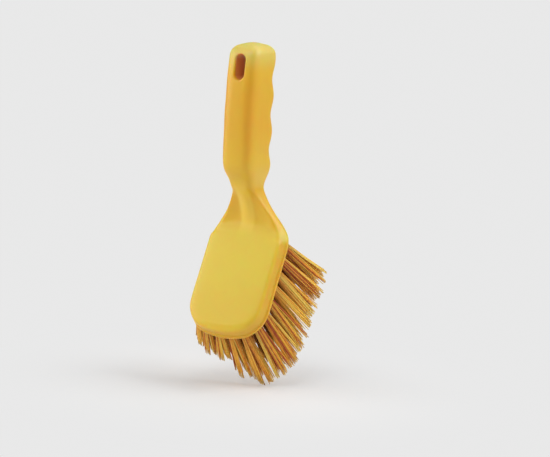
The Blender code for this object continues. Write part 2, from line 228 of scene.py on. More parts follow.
# %% [markdown]
# ## Neck and grip
#
# The neck is where the sections turn and narrow most. The grip's back swells to the middle of the
# hand and its underside has three finger grooves, drawn as smooth waves. The end is drawn in over
# its last centimetre, so that it closes as a dome.

# %% Sizes of the neck and grip
NECK_HALF_WIDTH, NECK_BACK, NECK_UNDERSIDE = 11.5 * MM, 10.9 * MM, 12.3 * MM
NECK_RUN = 19.5 * MM
GRIP_LENGTH, GRIP_HALF_WIDTH = 121.5 * MM, 15.0 * MM
GRIP_BACK, BACK_FULLEST, BACK_FALL = 24.0 * MM, 50.0 * MM, 5.7 * MM
GRIP_UNDERSIDE = 18.0 * MM
GROOVE_COUNT, GROOVE_DEPTH = 3, 4.5 * MM
FIRST_GROOVE, GROOVE_PITCH, GROOVE_LENGTH = 33.0 * MM, 30.5 * MM, 29.0 * MM
END_ROUND, END_BACK_ROUND = 9.0 * MM, 11.5 * MM
END_SHARES = ((1.0, 0.0), (0.6, 0.05), (0.26, 0.2), (0.02, 0.46), (-0.13, 0.76))
END_DOME = 1.7 * MM
print("grip:", round(1000 * GRIP_LENGTH, 1), "mm long with", GROOVE_COUNT, "finger grooves")

# %% Sections of the shoulder


def shoulder_line(start, end, along, rise):
    return on_head(0.0, mix(start.z, end.z, along), mix(-start.y, -end.y, rise))


def shoulder_section(low_along, low_rise, high_along, high_rise, width, neck, grip, soft, bow):
    to_head = HEAD.inverted()
    neck_low = to_head @ on_grip(0.0, 0.0, -NECK_UNDERSIDE)
    neck_high = to_head @ on_grip(0.0, 0.0, NECK_BACK)
    lower = shoulder_line(Vector((0.0, 0.0, SIDE_END)), neck_low, low_along, low_rise)
    upper = shoulder_line(Vector((0.0, -THICKNESS, SIDE_END)), neck_high, high_along, high_rise)
    half_width = mix(NECK_HALF_WIDTH, HALF_WIDTH, width)
    shares = []
    for plain, fluted, grasp in zip(head_shares(half_width, soft), NECK_SHARES, GRIP_SHARES):
        rest = 1.0 - neck - grip
        shares.append([rest * p + neck * f + grip * g for p, f, g in zip(plain, fluted, grasp)])
    points = section_between(lower, upper, half_width, shares)
    along_head = HEAD.to_3x3() @ Vector((0.0, 0.0, 1.0))
    for point, (across, up) in zip(points, shares):
        point -= along_head * CREASE_BOW * bow * ease(2.0 * up - 1.0) * min(across, BOW_REACH) ** 2
    return points


print("shoulder:", len(SHOULDER_SHARES), "sections")

# %% Sections of the grip


def groove(along):
    depth = 0.0
    for count in range(GROOVE_COUNT):
        off = abs(along - FIRST_GROOVE - GROOVE_PITCH * count) / (GROOVE_LENGTH / 2)
        if off < 1.0:
            depth += GROOVE_DEPTH * (0.5 + 0.5 * math.cos(math.pi * off))
    return depth


def grip_back(along):
    fall = BACK_FALL * ((along - BACK_FULLEST) / (GRIP_LENGTH - BACK_FULLEST)) ** 2
    return mix(NECK_BACK, GRIP_BACK - fall, ease(along / NECK_RUN))


def grip_underside(along):
    return mix(NECK_UNDERSIDE, GRIP_UNDERSIDE - groove(along), ease(along / NECK_RUN))


def grip_section(along, drawn):
    """A section of the grip, drawn in by a share of the end's rounding."""
    lower = on_grip(0.0, along, END_ROUND * drawn - grip_underside(along))
    upper = on_grip(0.0, along, grip_back(along) - END_BACK_ROUND * drawn)
    half_width = mix(NECK_HALF_WIDTH, GRIP_HALF_WIDTH, ease(along / NECK_RUN)) - END_ROUND * drawn
    return section_between(lower, upper, half_width, GRIP_SHARES)


first_depth = grip_back(FIRST_GROOVE) + grip_underside(FIRST_GROOVE)
print("grip at its first groove:", round(1000 * first_depth, 1), "mm deep")

# %% All the sections in a row
CORNER_ANGLES = (90.0, 68.0, 45.0, 22.0, 0.0)
STRAIGHT_SHARES = (0.3, 0.65, 0.93)
GRIP_STEPS = 16


def sharpened(sections):
    """Subdivision draws a cage's bends in by a sixth; this moves them out as far beforehand."""
    result = [sections[0]]
    for before, here, after in zip(sections, sections[1:], sections[2:]):
        result.append([p - (b - 2.0 * p + a) / 6.0 for b, p, a in zip(before, here, after)])
    return result + [sections[-1]]


half_sections = [corner_section(math.radians(angle)) for angle in CORNER_ANGLES]
for share in STRAIGHT_SHARES:
    half_sections.append(straight_section(mix(CORNER_RADIUS - FREE_END, SIDE_END, share)))
half_sections += [shoulder_section(*row) for row in SHOULDER_SHARES]
for step in range(GRIP_STEPS):
    half_sections.append(grip_section((GRIP_LENGTH - END_ROUND) * step / GRIP_STEPS, 0.0))
for before, inward in END_SHARES:
    half_sections.append(grip_section(GRIP_LENGTH - END_ROUND * before, inward))
sections = []
for half in sharpened(half_sections):
    mirrored = [Vector((-point.x, point.y, point.z)) for point in reversed(half[1:-1])]
    sections.append(half + mirrored)
print(len(sections), "sections of", len(sections[0]), "points")

# %% [markdown]
# ## Skin through the sections
#
# By hand this is one circle that is extruded again and again, each new ring shaped to the next
# section. The helper does the same: it adds a circle at the first section, extrudes the selected
# ring, and moves the new ring's points. The grip's end is closed with a grid of faces, because a
# grid subdivides smoothly where one large face would pinch. The head's free end is a straight
# stretch of the head's side, so it is bridged from its left to its right.

# %% Helpers that select and place
MERGE_DISTANCE = 0.02 * MM


def only_select(*pieces):
    bpy.ops.object.select_all(action="DESELECT")
    for piece in pieces:
        piece.select_set(True)
    bpy.context.view_layer.objects.active = pieces[-1]


def place_ring(mesh, ring, points):
    cage = bmesh.from_edit_mesh(mesh)
    cage.verts.ensure_lookup_table()
    for index, point in zip(ring, points):
        cage.verts[index].co = point
    bmesh.update_edit_mesh(mesh)


def select_ring(mesh, ring, corner):
    bpy.ops.mesh.select_all(action="DESELECT")
    cage = bmesh.from_edit_mesh(mesh)
    cage.verts.ensure_lookup_table()
    for index in ring:
        cage.verts[index].select_set(True)
    cage.select_flush_mode()
    cage.select_history.clear()
    cage.select_history.add(cage.verts[ring[corner]])
    bmesh.update_edit_mesh(mesh)


# %% Close the two ends


def bridge_sides(mesh, ring, corner):
    """Close a ring with a strip of faces between its two sides, bulged like the head's free end."""
    bpy.ops.mesh.select_all(action="DESELECT")
    cage = bmesh.from_edit_mesh(mesh)
    cage.verts.ensure_lookup_table()
    count, top = len(cage.verts), len(ring) // 2
    half_width = cage.verts[ring[corner]].co.x
    for sign in (1, -1):
        side = [cage.verts[ring[sign * step]] for step in range(corner, top - corner + 1)]
        for near, far in zip(side, side[1:]):
            cage.edges.get((near, far)).select_set(True)
    bmesh.update_edit_mesh(mesh)
    bpy.ops.mesh.bridge_edge_loops(number_cuts=2 * corner - 1, interpolation="LINEAR")
    cage = bmesh.from_edit_mesh(mesh)
    cage.verts.ensure_lookup_table()
    outward = HEAD.to_3x3() @ Vector((0.0, 0.0, -1.0))
    for vert in cage.verts[count:]:
        vert.co += outward * END_CROWN * (1.0 - (vert.co.x / half_width) ** 2)
    bmesh.update_edit_mesh(mesh)
    bpy.ops.mesh.select_all(action="SELECT")
    bpy.ops.mesh.remove_doubles(threshold=MERGE_DISTANCE)


def raise_dome(mesh, count, ring):
    """Raise the points that the grid added inside the grip's end, so that the end is domed."""
    cage = bmesh.from_edit_mesh(mesh)
    cage.verts.ensure_lookup_table()
    rim = [cage.verts[index].co for index in ring]
    half_width = max(point.x for point in rim)
    near, far = min(point.y for point in rim), max(point.y for point in rim)
    for vert in cage.verts[count:]:
        across, back = vert.co.x / half_width, (2.0 * vert.co.y - near - far) / (far - near)
        vert.co.z += END_DOME * (1.0 - across * across) * (1.0 - back * back)
    bmesh.update_edit_mesh(mesh)


# %% Loft


def following_ring(mesh, ring):
    """The new points that an extrusion of a ring has made, in the ring's order."""
    cage = bmesh.from_edit_mesh(mesh)
    cage.verts.ensure_lookup_table()
    count = len(cage.verts) - len(ring)
    following = []
    for index in ring:
        vert = cage.verts[index]
        linked = [edge.other_vert(vert).index for edge in vert.link_edges]
        following.append(next(other for other in linked if other >= count))
    return following


def loft(name, rings, corner=None):
    """A closed skin through rings of points. A corner says where its ends' sides start."""
    bpy.ops.object.select_all(action="DESELECT")
    centre = sum(rings[0], Vector()) / len(rings[0])
    bpy.ops.mesh.primitive_circle_add(vertices=len(rings[0]), radius=10 * MM, location=centre)
    piece = bpy.context.object
    piece.name = name
    bpy.ops.object.transform_apply(location=True, rotation=True, scale=True)
    bpy.ops.object.mode_set(mode="EDIT")
    bpy.ops.mesh.select_mode(type="VERT")
    bpy.ops.mesh.select_all(action="SELECT")
    first = ring = list(range(len(rings[0])))
    place_ring(piece.data, ring, rings[0])
    for points in rings[1:]:
        bpy.ops.mesh.extrude_region_move()
        ring = following_ring(piece.data, ring)
        place_ring(piece.data, ring, points)
    select_ring(piece.data, ring, corner or 0)
    if corner is None:
        bpy.ops.mesh.edge_face_add()
        select_ring(piece.data, first, 0)
        bpy.ops.mesh.edge_face_add()
    else:
        count = len(bmesh.from_edit_mesh(piece.data).verts)
        bpy.ops.mesh.fill_grid(span=2 * corner)
        raise_dome(piece.data, count, ring)
        bridge_sides(piece.data, first, corner)
    bpy.ops.mesh.select_all(action="SELECT")
    bpy.ops.mesh.normals_make_consistent(inside=False)
    bpy.ops.object.mode_set(mode="OBJECT")
    return piece


moulding = loft("moulding", sections, corner=LOWER_POINTS)
print("cage:", len(moulding.data.polygons), "faces")

# %% [markdown]
# ## A smooth skin
#
# The loft is a cage of a few hundred faces, and a moulding has no facets. Subdivision Surface turns
# the cage into a smooth skin. It is applied here, because the slot and the holes are cut next, and
# their edges have to stay crisp.

# %% Smooth the skin
SKIN_LEVELS = 3


def apply_modifier(piece, kind, **settings):
    modifier = piece.modifiers.new(kind.lower(), kind)
    for key, value in settings.items():
        setattr(modifier, key, value)
    only_select(piece)
    bpy.ops.object.modifier_apply(modifier=modifier.name)


apply_modifier(moulding, "SUBSURF", levels=SKIN_LEVELS, render_levels=SKIN_LEVELS)
print("skin:", len(moulding.data.polygons), "faces")

# %% [markdown]
# ## Hanging slot
#
# The slot is moulded by a core that passes through the grip, and its edges are rounded open so
# that it slides onto a hook. The core is lofted like the grip: rings of the slot's outline, wider
# near each surface, which follow the grip's back and its wavy underside. A Boolean takes it away.

# %% Slot
SLOT_RADIUS, SLOT_DROP, SLOT_LIP, OVERRUN = 4.7 * MM, 12.1 * MM, 1.7 * MM, 2.0 * MM
SLOT_STEPS, LIP_ANGLES = 16, range(6, 91, 12)


def slot_outline(spread):
    points = []
    for centre, start in ((0.0, 0.0), (-SLOT_DROP, math.pi)):
        for step in range(SLOT_STEPS + 1):
            angle = start + math.pi * step / SLOT_STEPS
            points.append(((SLOT_RADIUS + spread) * math.cos(angle),
                           centre + (SLOT_RADIUS + spread) * math.sin(angle)))
    return points


slot_rings = []
for side, depth_of in ((-1.0, grip_back), (1.0, grip_underside)):
    levels = [(-OVERRUN, SLOT_LIP + OVERRUN)]
    for angle in LIP_ANGLES:
        turn = math.radians(angle)
        levels.append((SLOT_LIP * (1.0 - math.cos(turn)), SLOT_LIP * (1.0 - math.sin(turn))))
    for depth, spread in levels if side < 0.0 else reversed(levels):
        slot_rings.append([Vector((x, side * (depth_of(z - NECK_HEIGHT) - depth), z))
                           for x, z in slot_outline(spread)])
slot_core = loft("slot_core", slot_rings)
apply_modifier(moulding, "BOOLEAN", operation="DIFFERENCE", solver="EXACT", object=slot_core)
bpy.data.objects.remove(slot_core)
print("with its slot:", len(moulding.data.polygons), "faces")

# %% [markdown]
# ## Where the tufts stand
#
# The tufts stand in three rings that follow the head's edge, 22, 14 and 6 of them. They fan out,
# as if their lines met in a point high above the back, and lean towards the free end. An Array
# modifier could repeat a tuft, but not along rings with turned copies, so the places are worked out
# in plain Python.

# %% Tuft places
EDGE_MARGIN, FIELD_END = 6.2 * MM, 45.0 * MM
TUFTS_IN_RINGS = ((9, 2), (6, 1), (3, 0))
RINGS_ALONG = 7.5
ARC_STEPS = 8
BRISTLE_LEAN = math.radians(18.8)
FAN_ACROSS, FAN_ALONG = 105.0 * MM, 192.0 * MM


def tuft_path(half_width, free, grip_side, corner):
    """From the middle of a ring's free end, round its corner, to its corner at the grip's side."""
    path = [Vector((0.0, free))]
    for step in range(ARC_STEPS + 1):
        angle = math.pi / 2 * step / ARC_STEPS
        path.append(Vector((half_width - corner + corner * math.sin(angle),
                            free + corner - corner * math.cos(angle))))
    return path + [Vector((half_width, grip_side))]


def point_along(path, distance):
    for start, end in zip(path, path[1:]):
        span = (end - start).length
        if distance <= span and span > 0.0:
            return start.lerp(end, distance / span)
        distance -= span
    return path[-1].copy()


def ring_places(ring, side_count, end_count):
    """One ring's tufts: up the right side, across the grip's side, and the same mirrored."""
    across = (HALF_WIDTH - EDGE_MARGIN) / (len(TUFTS_IN_RINGS) - 0.5)
    along = (FREE_END + FIELD_END) / RINGS_ALONG
    half_width, end_inset = HALF_WIDTH - EDGE_MARGIN - across * ring, EDGE_MARGIN + along * ring
    free, grip_side = end_inset - FREE_END, FIELD_END - end_inset
    path = tuft_path(half_width, free, grip_side, max(CORNER_RADIUS - end_inset, 0.0))
    length = sum((end - start).length for start, end in zip(path, path[1:]))
    half = [point_along(path, length * (step + 0.5) / (side_count - 0.5))
            for step in range(side_count)]
    for step in range(1, end_count + 1):
        half.append(Vector((half_width * (1.0 - step / (end_count + 0.5)), grip_side)))
    return [(p.x, p.y) for p in half] + [(-p.x, p.y) for p in reversed(half)]


tuft_places = []
for ring, counts in enumerate(TUFTS_IN_RINGS):
    tuft_places += ring_places(ring, *counts)


def fan_slopes(x, u):
    """How far a tuft goes across and along the head for each unit that it leaves the face."""
    return x / FAN_ACROSS, u / FAN_ALONG - math.tan(BRISTLE_LEAN)


print(len(tuft_places), "tufts")

# %% [markdown]
# ## Holes for the tufts
#
# On the real head each tuft is set in a blind hole that is drilled or moulded in the tuft's own
# direction. One round cutter is modelled, copied to each place, turned along its tuft, and all the
# copies are joined and taken away in one Boolean.

# %% Holes
TUFT_RADIUS, HOLE_DEPTH, FIT_GAP = 4.1 * MM, 8.5 * MM, 0.3 * MM
HOLE_SIDES = 24
SMOOTH_ANGLE = math.radians(38.0)


def tuft_turn(x, u):
    """The place and turn of a tuft: its own Z runs out along the bristles."""
    slope_x, slope_u = fan_slopes(x, u)
    direction = HEAD.to_3x3() @ Vector((slope_x, 1.0, slope_u))
    turn = direction.to_track_quat("Z", "Y").to_matrix().to_4x4()
    return Matrix.Translation(on_head(x, u, 0.0)) @ turn


bpy.ops.object.select_all(action="DESELECT")
bpy.ops.mesh.primitive_cylinder_add(vertices=HOLE_SIDES, radius=TUFT_RADIUS + FIT_GAP,
                                    depth=HOLE_DEPTH * 2, location=(0.0, 0.0, 0.0))
first_hole = bpy.context.object
holes = []
for x, u in tuft_places:
    hole = first_hole.copy()
    hole.data = first_hole.data.copy()
    bpy.context.collection.objects.link(hole)
    hole.data.transform(tuft_turn(x, u))
    holes.append(hole)
bpy.data.objects.remove(first_hole)
only_select(*holes)
bpy.ops.object.join()
hole_cutter = bpy.context.object
apply_modifier(moulding, "BOOLEAN", operation="DIFFERENCE", solver="EXACT", object=hole_cutter)
bpy.data.objects.remove(hole_cutter)
only_select(moulding)
bpy.ops.object.shade_smooth_by_angle(angle=SMOOTH_ANGLE)
moulding.name = "brush_block"
print("block:", sum(len(face.vertices) - 2 for face in moulding.data.polygons), "triangles")

# %% [markdown]
# ## One filament
#
# A stiff filament is a thin rod of polyester, cut off at its tip. Hair curves could draw thousands
# of them, but the finished brush has to be plain meshes. So the one that is copied has few faces: a
# five-sided rod, a little thicker than the real ones, extruded in short steps so that it can bend.
# Its height runs from 0 at the root to 1 at the tip, and each copy is stretched along its own path.

# %% Filament to copy
FILAMENT_SIDES, FILAMENT_STEPS, FILAMENT_TIP = 5, 5, 0.78

bpy.ops.object.select_all(action="DESELECT")
bpy.ops.mesh.primitive_circle_add(vertices=FILAMENT_SIDES, radius=1.0, fill_type="NGON",
                                  location=(0.0, 0.0, 0.0))
filament = bpy.context.object
bpy.ops.object.mode_set(mode="EDIT")
bpy.ops.mesh.select_all(action="SELECT")
for step in range(FILAMENT_STEPS):
    move = {"value": (0.0, 0.0, 1.0 / FILAMENT_STEPS)}
    bpy.ops.mesh.extrude_region_move(TRANSFORM_OT_translate=move)
bpy.ops.transform.resize(value=(FILAMENT_TIP, FILAMENT_TIP, 1.0), center_override=(0.0, 0.0, 1.0))
bpy.ops.mesh.select_all(action="SELECT")
bpy.ops.mesh.normals_make_consistent(inside=False)
bpy.ops.object.mode_set(mode="OBJECT")
print("a filament has", len(filament.data.polygons), "faces")

# %% [markdown]
# ## One plug
#
# At the bottom of each hole the filament ends are bound in resin. This plug hardly shows, but it is
# what holds the tuft, so it is modelled as a short cylinder with bevelled rims, a little narrower
# than its hole.

# %% Plug to copy
PLUG_TOP, PLUG_BEVEL = 5.5 * MM, 0.5 * MM
PLUG_FOOT = HOLE_DEPTH - FIT_GAP

bpy.ops.object.select_all(action="DESELECT")
bpy.ops.mesh.primitive_cylinder_add(vertices=HOLE_SIDES, radius=TUFT_RADIUS,
                                    depth=PLUG_FOOT - PLUG_TOP,
                                    location=(0.0, 0.0, -(PLUG_FOOT + PLUG_TOP) / 2))
plug = bpy.context.object
bpy.ops.object.transform_apply(location=True, rotation=True, scale=True)
bpy.ops.object.mode_set(mode="EDIT")
bpy.ops.mesh.select_mode(type="FACE")
bpy.ops.mesh.select_all(action="DESELECT")
plug_cage = bmesh.from_edit_mesh(plug.data)
for face in plug_cage.faces:
    face.select_set(abs(face.normal.z) > 0.5)
bmesh.update_edit_mesh(plug.data)
bpy.ops.mesh.bevel(offset=PLUG_BEVEL, segments=2)
bpy.ops.object.mode_set(mode="OBJECT")
print("a plug has", len(plug.data.polygons), "faces")

# %% [markdown]
# ## Tufts
#
# A tuft is a handful of filaments that starts as a tight bundle in its hole and opens towards the
# tips. Filaments in such a bundle cling together in a few clumps, which part from each other and
# close to a point at their tips, so each filament belongs to a clump and shares most of its lean,
# length and tone. The tips are trimmed to a plane that slopes a little, and at the left of the free
# end they are worn shorter. Every point also carries three numbers for its finish: how far along its
# filament it lies, how light the filament is, and how deep inside the brush it stands, which sets
# its painted shade.

# %% Lengths of the bristles
BRISTLE_TRIM = 47.5 * MM
TRIM_ACROSS, TRIM_ALONG = math.tan(math.radians(9.0)), math.tan(math.radians(5.0))
WORN_START, WORN_RUN = -24.0 * MM, 14.0 * MM
WORN_DEPTH, WORN_RIGHT, WORN_STEP = 13.0 * MM, 2.0 * MM, 7.0 * MM
LONG_EXTRA, LONG_CENTRE, LONG_REACH = 3.5 * MM, 18.0 * MM, 14.0 * MM


def trim_at(x, u):
    """How long the bristles are at a place. Half of the free end is worn shorter."""
    worn = WORN_DEPTH * ease((WORN_RIGHT - x) / WORN_STEP)
    worn -= LONG_EXTRA * ease(1.0 - abs(x - LONG_CENTRE) / LONG_REACH)
    worn *= ease((WORN_START - u) / WORN_RUN)
    return BRISTLE_TRIM + x * TRIM_ACROSS + u * TRIM_ALONG - worn


print("bristles at the head's centre:", round(1000 * trim_at(0.0, 0.0), 1), "mm")

# %% Places in a tuft
GOLDEN = math.pi * (3.0 - math.sqrt(5.0))
rng = random.Random(7)


def spiral(count, reach):
    """Places on a spiral that fills a circle evenly."""
    places = []
    for step in range(count):
        radius, angle = reach * math.sqrt((step + 0.5) / count), GOLDEN * (step + 0.5)
        places.append(Vector((radius * math.cos(angle), radius * math.sin(angle))))
    return places


def outwards(x, u):
    """The way out of the bristle field, towards its nearest edge."""
    return Vector(((x / HALF_WIDTH) ** 3, (u / FREE_END) ** 3)).normalized()


def scatter(spread):
    return Vector((rng.gauss(0.0, spread), rng.gauss(0.0, spread)))


def held_in(vector, out_way, share):
    """A vector with only a share of its part that points out of the bristle field."""
    return vector - out_way * max(vector.dot(out_way), 0.0) * (1.0 - share)


print("each place on the spiral turns on by", round(math.degrees(GOLDEN), 1), "degrees")

# %% Copies along a path
FILAMENT_RADIUS, ROOT_DEPTH = 0.44 * MM, 6.5 * MM


def add_copy(bm, mesh, layers, place, numbers):
    """Copy a mesh into a tuft: place moves each point and numbers gives its three finish numbers."""
    count = len(bm.verts)
    bm.from_mesh(mesh)
    bm.verts.ensure_lookup_table()
    for vert in bm.verts[count:]:
        for layer, number in zip(layers, numbers(vert.co)):
            vert[layer] = number
        vert.co = place(vert.co)


def filament_path(x, u, offset, slopes, bend, length):
    def place(co):
        out = mix(-ROOT_DEPTH, length, co.z)
        curl = max(out, 0.0) ** 2 / BRISTLE_TRIM
        side = x + offset.x + slopes.x * out + bend.x * curl + co.x * FILAMENT_RADIUS
        along_head = u + offset.y + slopes.y * out + bend.y * curl + co.y * FILAMENT_RADIUS
        return HEAD @ Vector((side, out, along_head))
    return place


def plug_path(x, u, slopes):
    def place(co):
        return HEAD @ Vector((x + slopes.x * co.z + co.x, co.z, u + slopes.y * co.z + co.y))
    return place


print("filaments are", round(2000 * FILAMENT_RADIUS, 2), "mm thick")

# %% One tuft
FILAMENTS_IN_TUFT, CLUMPS_IN_TUFT, CLUMP_FIELD = 76, 7, 0.9
SIDE_FLARE, OUTWARD_FLARE, CLUMP_GATHER = 2.5, 1.3, 0.4
END_TURN, END_TURN_START, END_TURN_RUN = 0.07, -20.0 * MM, 20.0 * MM
SPLAY, CLUMP_LEAN, OWN_BEND, OUTWARD_LEAN = 0.012, 0.016, 0.006, 0.4
TUFT_TONE, CLUMP_TONE, OWN_TONE, MIDDLE_TONE = 0.04, 0.18, 0.4, 0.5
CLUMP_SHORT, OWN_SHORT = 2.6, 0.7
DEPTH_ACROSS = 0.3


def make_clumps(shade):
    """A clump's middle in the tuft, its lean, its bend, how much it is shorter, and its tone."""
    clumps = []
    for middle in spiral(CLUMPS_IN_TUFT, TUFT_RADIUS * CLUMP_FIELD):
        clumps.append((middle, scatter(CLUMP_LEAN), scatter(CLUMP_LEAN),
                       rng.uniform(0.0, CLUMP_SHORT) * MM,
                       shade + rng.uniform(-CLUMP_TONE, CLUMP_TONE)))
    return clumps


def make_tuft(number, x, u, depth):
    """One tuft at its place on the head. Depth, how far inside the brush it stands, sets its painted
    shade.
    """
    bm = bmesh.new()
    layers = [bm.verts.layers.float.new(name) for name in ("along", "tone", "inside")]
    slopes, trim, out_way = Vector(fan_slopes(x, u)), trim_at(x, u), outwards(x, u)
    slopes.x -= END_TURN * ease((END_TURN_START - u) / END_TURN_RUN)
    splay, shade = scatter(SPLAY), rng.uniform(-TUFT_TONE, TUFT_TONE)
    clumps = make_clumps(shade)
    for offset in spiral(FILAMENTS_IN_TUFT, TUFT_RADIUS - FILAMENT_RADIUS):
        middle, lean, bend, short, tone = min(clumps, key=lambda clump: (clump[0] - offset).length)
        tip = (middle + (offset - middle) * (1.0 - CLUMP_GATHER)) * SIDE_FLARE
        tip = held_in(tip, out_way, OUTWARD_FLARE / SIDE_FLARE)
        own = slopes + held_in(splay + lean + bend, out_way, OUTWARD_LEAN) - bend
        own += (tip - offset) / trim
        length = trim_at(x + offset.x, u + offset.y) - short - rng.expovariate(1.0) * OWN_SHORT * MM
        # How deep inside the brush this filament stands, which sets its painted shade
        inside = depth - DEPTH_ACROSS * offset.dot(out_way) / TUFT_RADIUS
        tone += rng.uniform(-OWN_TONE, OWN_TONE)
        path = filament_path(x, u, offset, own, bend + scatter(OWN_BEND), length)
        add_copy(bm, filament.data, layers, path, lambda co: (co.z, MIDDLE_TONE + tone, inside))
    add_copy(bm, plug.data, layers, plug_path(x, u, slopes), lambda co: (0.0, MIDDLE_TONE, 1.0))
    mesh = bpy.data.meshes.new(f"bristles_{number:02d}")
    bm.to_mesh(mesh)
    bm.free()
    tuft = bpy.data.objects.new(mesh.name, mesh)
    bpy.context.collection.objects.link(tuft)
    return tuft


print("a tuft:", FILAMENTS_IN_TUFT, "filaments in", CLUMPS_IN_TUFT, "clumps")

# %% All the tufts
OUTER_COUNT = 2 * sum(TUFTS_IN_RINGS[0])
# How much painted shade the outer ring and the inner rings get
OUTER_DEPTH, INNER_DEPTH = 0.25, 1.0
tufts = []
for number, (x, u) in enumerate(tuft_places, start=1):
    tufts.append(make_tuft(number, x, u, OUTER_DEPTH if number <= OUTER_COUNT else INNER_DEPTH))
for pattern in (filament, plug):
    bpy.data.objects.remove(pattern)
for tuft in tufts:
    tuft.data.shade_smooth()
print(len(tufts), "tufts of", len(tufts[0].data.polygons), "faces")

# %% [markdown]
# ## Shader sums in Python
#
# A finish is a small sum of noises and masks, which by hand is a web of nodes that is hard to read.
# One class wraps a shader socket instead, so that such a sum is written as plain Python. A second
# class is a material, and one method of it makes any other node.

# %% A number that varies over a surface


class Amount:
    """A number that varies over a surface: a shader socket that takes part in Python sums."""

    def __init__(self, finish, socket):
        self.finish, self.socket = finish, socket

    def combined(self, operation, first, second):
        node = self.finish.node("ShaderNodeMath", {"operation": operation}, {0: first, 1: second})
        return Amount(self.finish, node.outputs[0])

    def __add__(self, other):
        return self.combined("ADD", self, other)

    def __radd__(self, other):
        return self.combined("ADD", other, self)

    def __sub__(self, other):
        return self.combined("SUBTRACT", self, other)

    def __rsub__(self, other):
        return self.combined("SUBTRACT", other, self)

    def __mul__(self, other):
        return self.combined("MULTIPLY", self, other)

    def __rmul__(self, other):
        return self.combined("MULTIPLY", other, self)


# %% A material


class Finish:
    """A material of one Principled shader, whose varying inputs are fed from nodes."""

    def __init__(self, name, **constants):
        self.material = bpy.data.materials.new(name)
        self.material.use_nodes = True
        self.tree = self.material.node_tree
        self.shader = self.tree.nodes["Principled BSDF"]
        for socket, value in constants.items():
            self.shader.inputs[socket.replace("_", " ")].default_value = value

    def node(self, kind, settings, sockets):
        node = self.tree.nodes.new(kind)
        for key, value in settings.items():
            if key == "stops":
                ramp = node.color_ramp
                while len(ramp.elements) < len(value):
                    ramp.elements.new(1.0)
                for element, (position, colour) in zip(ramp.elements, value):
                    element.position, element.color = position, colour
            else:
                setattr(node, key, value)
        for key, value in sockets.items():
            self.feed(node.inputs[key], value)
        return node

    def feed(self, socket, value):
        if isinstance(value, Amount):
            value = value.socket
        if isinstance(value, bpy.types.NodeSocket):
            self.tree.links.new(value, socket)
        else:
            socket.default_value = value

    def place(self):
        return self.node("ShaderNodeTexCoord", {}, {}).outputs["Object"]

    def stretched(self, scale):
        node = self.node("ShaderNodeMapping", {}, {"Vector": self.place(), "Scale": scale})
        return node.outputs[0]

    def noise(self, vector, scale, detail):
        node = self.node("ShaderNodeTexNoise", {},
                         {"Vector": vector, "Scale": scale, "Detail": detail})
        return Amount(self, node.outputs[0])

    def reach(self, frame, direction):
        """How far a place lies along a direction of a frame, in metres."""
        way = frame.to_3x3() @ Vector(direction)
        node = self.node("ShaderNodeVectorMath", {"operation": "DOT_PRODUCT"},
                         {0: self.place(), 1: way})
        return Amount(self, node.outputs["Value"]) - way.dot(frame.translation)

    def ramp(self, value, start, end, first=0.0, last=1.0):
        node = self.node("ShaderNodeMapRange", {"interpolation_type": "SMOOTHSTEP"},
                         {"Value": value, "From Min": start, "From Max": end, "To Min": first,
                          "To Max": last})
        return Amount(self, node.outputs[0])

    def between(self, value, start, risen, falling, end):
        """1 between two places, fading to 0 outside them."""
        return self.ramp(value, start, risen) * self.ramp(value, falling, end, 1.0, 0.0)

    def attribute(self, name):
        node = self.node("ShaderNodeAttribute", {"attribute_name": name}, {})
        return Amount(self, node.outputs["Fac"])

    def blend(self, share, first, second):
        node = self.node("ShaderNodeMix", {"data_type": "RGBA"}, {0: share, 6: first, 7: second})
        return node.outputs[2]

    def bump(self, height, strength, distance):
        node = self.node("ShaderNodeBump", {}, {"Height": height, "Strength": strength,
                                                "Distance": distance})
        self.feed(self.shader.inputs["Normal"], node.outputs[0])


def rgb(red, green, blue):
    return (red, green, blue, 1.0)


# %% [markdown]
# ## Yellow plastic
#
# The block is satin polypropylene, a yellow that is a little uneven, as the pigment is, with a fine
# spark-eroded grain, faint flow lines along the grip, and roughness that changes with both. It is
# slightly translucent, which keeps its shaded side warm. On top of this, light and shade are painted
# into its yellow: painted light makes it paler on the flat back, at the shoulders, on the neck's rib
# and at the grip's end, and painted shade makes it deeper on the head's sides and towards its free
# end, on the neck and the middle of the grip, in the flutes, along the grip's long corners and
# inside the slot. An image could be painted for this, but masks on the piece's own coordinates need
# no file, and they stay in place from every side.

# %% Plastic: pigment, grain and flow
# The deeper yellow stands for painted shade and the lemon one for painted light; the pigment's own
# unevenness also blends between them
DEEP_YELLOW, LEMON_YELLOW = rgb(0.83, 0.43, 0.02), rgb(0.81, 0.61, 0.04)

plastic = Finish("satin_yellow_plastic", Roughness=0.35, IOR=1.49, Subsurface_Weight=0.6,
                 Subsurface_Radius=(1.0, 0.28, 0.07), Subsurface_Scale=6.0 * MM)
cloud = plastic.noise(plastic.place(), 38.0, detail=3.0)
grain = plastic.noise(plastic.place(), 1500.0, detail=1.0)
flow = plastic.noise(plastic.stretched((420.0, 420.0, 9.0)), 1.0, detail=2.0)
axes = plastic.node("ShaderNodeSeparateXYZ", {}, {"Vector": plastic.place()}).outputs
at_x, at_y, at_z = axes["X"], axes["Y"], axes["Z"]
print("pigment, grain and flow:", len(plastic.tree.nodes), "nodes")

# %% Plastic: painted light and shade by place
# Painted light and shade along the height: paler on the head and at the grip's end, deeper on the
# neck and the middle of the grip
PALE_LOW, PALE_HIGH = -160.0 * MM, 20.0 * MM
PAINTED_LIGHT_STOPS = ((0.0, 1.0), (0.139, 0.85), (0.222, 0.55), (0.417, 0.5), (0.583, 0.2),
              (0.722, 0.25), (0.861, 0.45), (1.0, 1.2))

